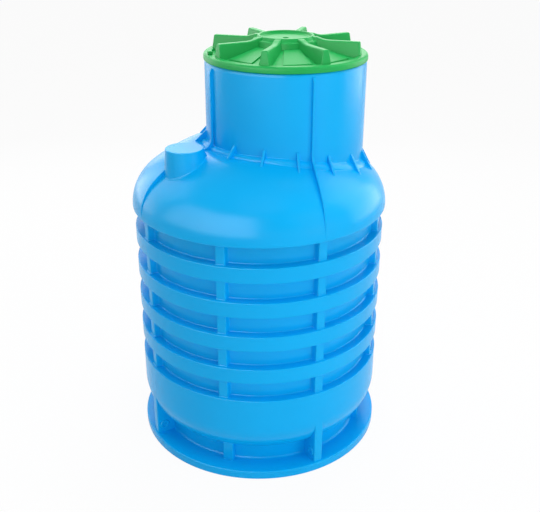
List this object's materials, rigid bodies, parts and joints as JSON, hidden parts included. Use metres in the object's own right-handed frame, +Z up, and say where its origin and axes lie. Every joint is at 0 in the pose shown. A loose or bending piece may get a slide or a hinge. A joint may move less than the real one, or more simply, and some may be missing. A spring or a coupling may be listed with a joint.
{
  "type": "well caisson",
  "caption": "Round plastic chamber that is buried over a well head, with a ribbed wall, a domed shoulder, an offset access neck, a footed base and a lift-off ribbed lid.",
  "frame": {"origin": "centre of the base's underside, on the chamber's axis", "axes": "+Z up along the chamber's axis, +X from the chamber's axis towards the neck's, front towards -Y"},
  "size_m": [1.2199, 1.22, 1.9803],
  "materials": {
    "shell": "satin",
    "lid": "satin"
  },
  "bodies": {
    "tank": {"base_fin_back": "shell", "base_fin_front": "shell", "base_fin_left": "shell", "base_fin_right": "shell", "base_flange": "shell", "entry_boss": "shell", "floor_plate": "shell", "foot_posts": "shell", "foot_wall": "shell", "lower_barrel": "shell", "neck_collar": "shell", "neck_gussets": "shell", "neck_wall": "shell", "seam_rib_back": "shell", "seam_rib_front": "shell", "seam_rib_left": "shell", "seam_rib_right": "shell", "shoulder_dome": "shell", "wall_bay_1": "shell", "wall_bay_2": "shell", "wall_bay_3": "shell", "wall_bay_4": "shell", "wall_bay_5": "shell", "wall_bay_6": "shell", "wall_bay_7": "shell", "wall_bay_8": "shell"},
    "lid": {"lid_deck": "lid", "lid_hub": "lid", "lid_lug": "lid", "lid_rib_1": "lid", "lid_rib_2": "lid", "lid_rib_3": "lid", "lid_rib_4": "lid", "lid_rib_5": "lid", "lid_rib_6": "lid", "lid_rib_7": "lid", "lid_rib_8": "lid", "lid_rim": "lid"}
  },
  "joints": [
    {"name": "lid_lift", "type": "slide", "parent": "tank", "child": "lid", "axis": [0, 0, 1], "range_m": [0, 0.75]}
  ]
}
